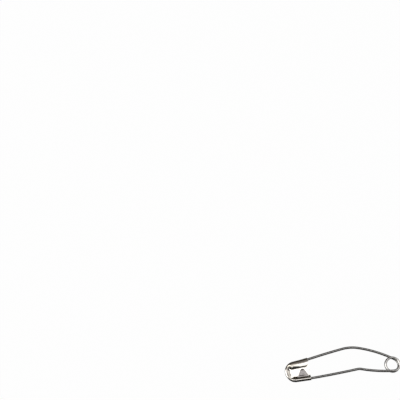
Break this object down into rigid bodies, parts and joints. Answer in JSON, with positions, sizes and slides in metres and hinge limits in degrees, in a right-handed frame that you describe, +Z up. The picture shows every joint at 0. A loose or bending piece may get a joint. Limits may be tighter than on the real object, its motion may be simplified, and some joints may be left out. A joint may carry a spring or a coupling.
{
  "type": "safety pin",
  "caption": "Curved safety pin of spring wire with a coiled spring end, a bent arm that ends in a ground point, and a folded sheet clasp that covers the point.",
  "frame": {"origin": "centre of the pin's footprint, on the surface that it lies on", "axes": "+X along the pin from the clasp towards the coil, +Y from the fixed arm towards the needle arm, +Z up from the surface, with the open side of the clasp up"},
  "size_m": [0.0376, 0.0104, 0.0025],
  "materials": {
    "clasp_sheet": "bright nickel plate over folded sheet steel, with faint rubbing marks and a warm tint",
    "spring_wire": "nickel-plated drawn spring wire, with fine lines along its length"
  },
  "bodies": {
    "root": {"clasp": "clasp_sheet", "fixed_arm": "spring_wire", "coil_spring": "spring_wire"},
    "needle": {"needle_arm": "spring_wire"}
  },
  "joints": [
    {"name": "needle_hinge", "type": "hinge", "parent": "root", "child": "needle", "pos_m": [0.01622, -0.00195, 0], "axis": [0, 0, -1], "range_deg": [-4, 45], "stiffness_Nm_per_rad": 0.135, "deforming": ["coil_spring"]}
  ]
}
